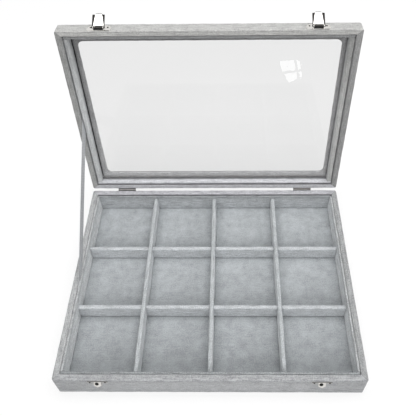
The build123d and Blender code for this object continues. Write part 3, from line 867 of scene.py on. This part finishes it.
def makeFloor():
    s = floorSizes
    low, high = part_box("floor_lining")
    lines, edges = [], []
    for axis, first, last, nodes in ((0, "left", "right", longNodes), (1, "front", "back", crossNodes)):
        start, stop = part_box("liner_" + first)[1][axis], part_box("liner_" + last)[0][axis]
        walls = [(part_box(node)[0][axis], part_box(node)[1][axis]) for node in nodes]
        lines.append([low[axis]] + cellLines(start, stop, walls) + [high[axis]])
        edges.append([start, stop] + [e for wall in walls for e in wall])
    xs, ys = lines
    points, naps, shades = [], [], []
    for y in ys:
        for x in xs:
            near = min(abs(at - e) for at, walls in zip((x, y), edges) for e in walls)
            drop = s["creaseDepth"] * max(0.0, 1 - near / s["creaseWidth"]) ** 1.5
            rise = s["crown"] * (1 - math.exp(-near / s["crownReach"])) - s["sink"]
            bumpy = s["unevenness"] * noise.noise(Vector((x, y, 0.3)) / s["unevenLength"])
            points.append((x, y, high.z - drop + rise + bumpy * min(1.0, near / s["evenBeside"])))
            naps.append((x, y))
            # painted shade, darker towards the front
            shades.append(s["frontShade"] * (high.y - y) / (high.y - low.y))
    width = len(xs)
    faces = [(r * width + k, r * width + k + 1, (r + 1) * width + k + 1, (r + 1) * width + k)
             for r in range(len(ys) - 1) for k in range(width - 1)]
    piece = finishPiece("velvetFloor", points, faces, velvets["floor", "sheet"], naps, shades=shades)
    thicken(piece, (high.z - low.z) * s["clothShare"])
    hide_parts("floor_lining")


# Felt under the base, cut with scissors and glued: soft edge, lies on the table
feltSizes = {"corner": 3.0 * mm, "edge": 0.25 * mm}


def makeUnderside():
    s = feltSizes
    low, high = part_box("underside_felt")
    hx, hy, edge = (high.x - low.x) / 2, (high.y - low.y) / 2, s["edge"]
    profile = [(2 * edge, low.z), (edge, low.z), (0, low.z + edge)]
    profile += [(0, high.z - edge), (edge, high.z), (2 * edge, high.z)]
    outlines = [roundedOutline(hx - t, hy - t, s["corner"] - t, z) for t, z in profile]
    points, faces, naps = joinOutlines(outlines)
    faces += endFaces(len(outlines), len(outlines[0]))
    piece = finishPiece("undersideFelt", points, faces, greyFelt, naps)
    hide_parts("underside_felt")


# Ribbon that stops the lid: its two ends are glued in the grooves, and it is taut between them
ribbonSizes = {
    "width": 16.0 * mm,
    "thickness": 0.4 * mm,
    "selvedge": 0.8 * mm,
    "steps": 48,
    "cutWithin": 0.1 * mm,
    "steepestCut": 0.78,     # how far a slanting end runs along the ribbon, for each unit across it
    "slantFades": 6,
    "foldFrom": 0.1,         # shares of its length
    "foldTo": 0.93,
}


def makeRibbonStay():
    s = ribbonSizes
    corners = sorted((v.co.copy() for v in frame["nodes"]["ribbon_stay"].data.vertices), key=lambda p: p.z)
    lowCut = [p for p in corners if p.z - corners[0].z < s["cutWithin"]]
    depths = [(closeLid @ p).z for p in corners]
    highCut = [p for p, depth in zip(corners, depths) if max(depths) - depth < s["cutWithin"]]
    start, end = sum(lowCut, Vector()) / len(lowCut), sum(highCut, Vector()) / len(highCut)
    way, out = (end - start).normalized(), Vector((1, 0, 0))
    side = out.cross(way).normalized()
    half, thin, edge = s["width"] / 2, s["thickness"] / 2, s["selvedge"]

    def slant(cut, middle):
        far = max(cut, key=lambda p: (p - middle).dot(side)) - middle
        return max(-s["steepestCut"], min(s["steepestCut"], far.dot(way) / far.dot(side)))

    lowSlant, highSlant = slant(lowCut, start), slant(highCut, end)
    section = [(-half, -thin * 0.6), (-half + 0.3 * edge, -thin), (-half + edge, -thin * 0.7)]
    section += [(0, -thin * 0.7)] + [(-a, b) for a, b in reversed(section)]
    section += [(a, -b) for a, b in reversed(section)]
    points, naps, path = [], [], []
    for k in range(s["steps"] + 1):
        share = k / s["steps"]
        centre = start.lerp(end, share)
        path.append(tuple(centre))
        slope = lowSlant * (1 - share) ** s["slantFades"] + highSlant * share ** s["slantFades"]
        for across, off in section:
            points.append(centre + side * across + way * across * slope + out * off)
            naps.append(((end - start).length * share + across * slope, across))
    faces = ringFaces(len(path), len(section)) + endFaces(len(path), len(section))
    piece = finishPiece("ribbonStay", points, faces, greyRibbon, naps, body=None)
    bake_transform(piece)
    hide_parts("ribbon_stay")
    print("ribbon", round((end - start).length / mm, 1), "mm")


# Small round-headed nails on the latches and catches, cross-headed screws in the hinges
nailSizes = {"head": 1.1 * mm, "rise": 0.62 * mm, "shank": 0.58 * mm, "tip": 0.11 * mm, "length": 6.0 * mm,
             "around": 32, "slotWidth": 0.2 * mm, "slotReach": 0.72 * mm, "slotDepth": 0.35 * mm,
             "dome": ((0.04, 1.0), (0.2, 0.98), (0.35, 0.94), (0.5, 0.87), (0.65, 0.76), (0.8, 0.58),
                      (0.92, 0.34), (1.0, 0.0))}     # shares of the head's radius and of its rise


def separateSolids(node):
    mesh = frame["nodes"][node].data
    parent = list(range(len(mesh.vertices)))

    def root(v):
        while parent[v] != v:
            v = parent[v]
        return v
    spots = {}
    for vertex in mesh.vertices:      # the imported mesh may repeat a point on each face, so join by place
        key = tuple(round(c * 1e6) for c in vertex.co)
        if key in spots:
            parent[root(vertex.index)] = root(spots[key])
        spots[key] = vertex.index
    for edge in mesh.edges:
        parent[root(edge.vertices[0])] = root(edge.vertices[1])
    groups = {}
    for vertex in mesh.vertices:
        groups.setdefault(root(vertex.index), []).append(vertex.co.copy())
    return list(groups.values())


def makeNails(name, node, inward, material, crossed, body):
    s = nailSizes
    points, faces = [], []
    inward = Vector(inward).normalized()
    sideways = Vector((1, 0, 0))
    upright = inward.cross(sideways).normalized()
    for group in separateSolids(node):
        ups = [p.dot(upright) for p in group]
        midX = (min(p.x for p in group) + max(p.x for p in group)) / 2
        centre = sideways * midX + upright * (min(ups) + max(ups)) / 2
        seat = max(p.dot(inward) for p in group) - s["length"]
        rings = [(share * s["head"], -height * s["rise"]) for share, height in s["dome"]]
        rings += [(s["shank"], 0.0), (s["shank"], s["length"] - s["head"]), (s["tip"], s["length"])]
        first = len(points)
        for radius, depth in rings:
            for k in range(s["around"]):
                a = 2 * math.pi * k / s["around"]
                u, v = radius * math.cos(a), radius * math.sin(a)
                inSlot = min(abs(u), abs(v)) < s["slotWidth"] and max(abs(u), abs(v)) < s["slotReach"]
                sink = s["slotDepth"] if crossed and inSlot and depth < 0 else 0.0
                points.append(centre + sideways * u + upright * v + inward * (seat + depth + sink))
        faces += ringFaces(len(rings), s["around"], first) + endFaces(len(rings), s["around"], first)
    piece = finishPiece(name, points, faces, material, None, body)
    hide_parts(node)


# Latches and catches: the stamped pieces as built, each face with the finish or painted shade it gets
def latchShut(side):
    joint = joints[side + "_latch_pivot"]
    pivot = closeLid @ Vector(joint["pos_m"])
    turn = Matrix.Rotation(math.radians(joint["range_deg"][1]), 4, "X")
    return Matrix.Translation(pivot) @ turn @ Matrix.Translation(-pivot) @ closeLid


def finishStamping(name, node, body, closing, finishes, pick):
    mesh = frame["nodes"][node].data.copy()
    mesh.name = name
    points = [closing @ v.co for v in mesh.vertices]
    middle = (min(p.x for p in points) + max(p.x for p in points)) / 2
    while mesh.uv_layers:
        mesh.uv_layers.remove(mesh.uv_layers[0])
    addLayer(mesh, "nap", [((p.x - middle) / mm, p.z / mm) for p in points])
    mesh.materials.clear()
    for material in finishes:
        mesh.materials.append(material)
    straight = closing.to_3x3()
    for polygon in mesh.polygons:
        centre = closing @ polygon.center
        spot = Vector((centre.x - middle, centre.y, centre.z)) / mm
        polygon.material_index = pick(straight @ polygon.normal, spot)
    piece = addToScene(name, mesh)
    piece.matrix_world = frame["nodes"][node].matrix_world.copy()
    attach(piece, body)
    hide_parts(node)


# Which of a stamping's finishes, some with painted shade, a face gets, by its direction and by its place in
# mm when closed
faceRules = {"flank": 0.6, "facing": 0.5, "upward": 0.8, "lipBelow": 24.6, "lugsWithin": 6.9,
             "lugsFrom": -131.3, "tongueWithin": 4.1, "tongueFrom": -131.75}


def pickLever(normal, spot):
    s = faceRules
    if abs(normal.x) > s["flank"]:
        return 2
    if spot.z < s["lipBelow"] and normal.y > s["facing"]:
        return 3
    return 0 if normal.y < -s["facing"] else 1


def pickPlate(normal, spot):
    s = faceRules
    inLug = abs(normal.x) > s["flank"] or spot.y > s["lugsFrom"]
    return 1 if abs(spot.x) < s["lugsWithin"] and inLug else 0


def pickCatch(normal, spot):
    s = faceRules
    if spot.y < s["tongueFrom"] and abs(spot.x) < s["tongueWithin"]:
        return 1
    return 2 if normal.z > s["upward"] else 0


def makeLatches():
    for side in ("left", "right"):
        finishStamping(side + "Lever", side + "_latch_lever", side + "_latch", latchShut(side),
                       (brightNickel, leverNickel, dullNickelPaintedShade, dimReflectionNickel), pickLever)
        finishStamping(side + "LatchPlate", side + "_latch_plate", "lid", closeLid,
                       (plateNickel, deepShadeNickel), pickPlate)
        finishStamping(side + "CatchPlate", side + "_catch_plate", "base", Matrix.Identity(4),
                       (dimReflectionNickel, tongueNickel, dullNickelPaintedShade), pickCatch)


lidInward = openLid.to_3x3() @ Vector((0, 1, 0))

makeBaseWrap()
makeLidWrap()
makeStrips()
makeGrid()
makeFloor()
makeUnderside()
print("velvet and felt made")
makeRibbonStay()
makeLatches()
# Nail heads with painted deep shade, screws with painted shade
makeNails("catchNails", "catch_nails", (0, 1, 0), deepShadeNickel, False, "base")
makeNails("latchNails", "latch_nails", lidInward, deepShadeNickel, False, "lid")
makeNails("hingeBaseScrews", "hinge_base_screws", (0, -1, 0), dullNickelPaintedShade, True, "base")
makeNails("hingeLidScrews", "hinge_lid_screws", -lidInward, dullNickelPaintedShade, True, "lid")
print("nails and screws made")

for node in ("base_front_wall", "base_back_wall", "base_left_wall", "base_right_wall", "base_bottom_board",
             "lid_front_rail", "lid_hinge_rail", "lid_left_rail", "lid_right_rail", "lid_top_panel"):
    dress(node, rawBoard)
for side in ("left", "right"):
    # Painted deep shade on the lever pins, painted shade on the hinges
    dress(side + "_lever_pin", deepShadeNickel)
    for node in ("hinge_base_leaf", "hinge_lid_leaf", "hinge_pin"):
        dress(side + "_" + node, hingeNickelPaintedShade)
dress("glass_pane", clearGlass)
print("frame pieces dressed")

# Camera: solved from the photograph's edges, in a 416 by 416 picture
photoCamera = {"focalPixels": 535.2, "place": (27.3 * mm, -341.2 * mm, 653.2 * mm), "azimuth": -1.33,
               "lookDown": 45.43, "roll": -1.22, "centreX": 224.2, "centreY": 123.0, "picture": 416}


def makeCamera():
    c = photoCamera
    azimuth, down, roll = (math.radians(c[k]) for k in ("azimuth", "lookDown", "roll"))
    ahead = Vector((math.sin(azimuth) * math.cos(down), math.cos(azimuth) * math.cos(down), -math.sin(down)))
    level = Vector((math.cos(azimuth), -math.sin(azimuth), 0))
    up = level.cross(ahead)
    across = math.cos(roll) * level + math.sin(roll) * up
    upward = -math.sin(roll) * level + math.cos(roll) * up
    data = bpy.data.cameras.new("photoCamera")
    data.sensor_fit = "HORIZONTAL"
    data.sensor_width = 36.0
    data.lens = c["focalPixels"] / c["picture"] * data.sensor_width
    data.shift_x = (c["picture"] / 2 - c["centreX"]) / c["picture"]
    data.shift_y = (c["centreY"] - c["picture"] / 2) / c["picture"]
    data.clip_start, data.clip_end = 0.01, 20
    camera = addToScene("photoCamera", data)
    turn = Matrix((across, upward, -ahead)).transposed()
    camera.matrix_world = Matrix.Translation(Vector(c["place"])) @ turn.to_4x4()
    bpy.context.scene.camera = camera


makeCamera()

# Floor: matt white table, far wider than the view, kept near white for the camera with a soft shadow left
# round the case and none farther out
floorLook = {"reach": 6.0, "below": 0.3 * mm, "dark": "#F2F2F2", "pale": "#F6F6F6", "grain": 25.0,
             "keepShadow": 0.22, "shadowReach": 0.45, "whiteFrom": 1.0}


def makeStage():
    s = floorLook
    reach = s["reach"]
    mesh = bpy.data.meshes.new("table")
    mesh.from_pydata([(-reach, -reach, 0), (reach, -reach, 0), (reach, reach, 0), (-reach, reach, 0)], [],
                     [(0, 1, 2, 3)])
    material, tree = startMaterial("matt white table")
    place = objectPlace(tree)
    grain = addNoise(tree, place, s["grain"], Detail=4.0)
    colour = mixColours(tree, grain, hexColour(s["dark"]), hexColour(s["pale"]))
    matt = addNode(tree, "BsdfDiffuse", {"Roughness": 1.0, "Color": colour})
    white = addWhite(tree, "Emission", 1.0)
    away = addNode(tree, "VectorMath", {"operation": "LENGTH", 0: place}, "Value")
    whiteness = addRange(tree, away, s["shadowReach"], s["whiteFrom"], 1 - s["keepShadow"], 1.0)
    share = addMath(tree, "MULTIPLY", anyRay(tree, "Camera", "Glossy", "Transmission"), whiteness)
    both = addNode(tree, "MixShader", {0: share, 1: matt, 2: white})
    mesh.materials.append(endMaterial(material, tree, both))
    table = addToScene("table", mesh)
    table.location.z = -s["below"]


makeStage()

# Light: a pale room all round, a wide soft box far in front, two above the case and a weak one at its right
lightLook = {
    "room": 0.2,
    "front": {"power": 71.7, "place": (0.0, -2.6, 1.9), "size": (3.0, 2.0), "aim": (0.0, 0.0, 0.0)},
    "above": {"power": 5.8, "place": (0.0, 0.08, 1.0), "size": (1.1, 0.5), "aim": (0.0, 0.08, 0.0)},
    "behind": {"power": 2.1, "place": (0.0, 0.35, 0.95), "size": (1.1, 0.8), "aim": (0.0, 0.05, 0.1)},
    "right": {"power": 5.05, "place": (1.2, 0.0, 0.6), "size": (1.0, 0.8), "aim": (0.0, 0.0, 0.1)},
}


def makeLamp(name):
    s = lightLook[name]
    lamp = bpy.data.lights.new(name + "SoftBox", "AREA")
    lamp.shape = "RECTANGLE"
    lamp.size, lamp.size_y = s["size"]
    lamp.energy = s["power"]
    box = addToScene(name + "SoftBox", lamp)
    box.location = s["place"]
    box.rotation_euler = (Vector(s["aim"]) - Vector(s["place"])).to_track_quat("-Z", "Y").to_euler()


def makeRoom():
    world = bpy.data.worlds.new("pale room")
    bpy.context.scene.world = world
    world.use_nodes = True
    tree = world.node_tree
    tree.nodes.clear()
    room, backdrop = addWhite(tree, "Background", lightLook["room"]), addWhite(tree, "Background", 1.0)
    seen = anyRay(tree, "Camera", "Glossy", "Transmission")
    both = addNode(tree, "MixShader", {0: seen, 1: room, 2: backdrop})
    addNode(tree, "OutputWorld", {"Surface": both}, None)


# A small window of four panes, mirrored in the glass near its top right corner. It hangs in front of the
# open lid, is seen only in mirrors and lights nothing
windowLook = {
    "strength": 11.0,
    "depth": 60.0 * mm,
    "panes": (((93.8, 191.5), (114.2, 192.3), (117.4, 176.0), (97.8, 174.1)),
              ((117.3, 192.7), (121.8, 192.7), (125.0, 178.2), (120.4, 176.8)),
              ((100.8, 169.5), (117.6, 172.2), (120.4, 162.0), (107.7, 155.5)),
              ((121.0, 172.1), (126.1, 173.4), (126.9, 164.8), (124.9, 161.9))),
}


def makeWindow():
    s = windowLook
    points = [(x * mm, s["depth"], z * mm) for pane in s["panes"] for x, z in pane]
    mesh = bpy.data.meshes.new("window")
    mesh.from_pydata(points, [], [tuple(range(4 * k, 4 * k + 4)) for k in range(len(s["panes"]))])
    material, tree = startMaterial("daylight in the window")
    mesh.materials.append(endMaterial(material, tree, addWhite(tree, "Emission", s["strength"])))
    window = addToScene("window", mesh)
    for ray in ("camera", "diffuse", "transmission", "shadow", "volume_scatter"):
        setattr(window, "visible_" + ray, False)


makeRoom()
makeWindow()
for lampName in ("front", "above", "behind", "right"):
    makeLamp(lampName)
print("lit")
bpy.context.scene.view_settings.view_transform = "Standard"
bpy.context.view_layer.update()
print("scene ready")
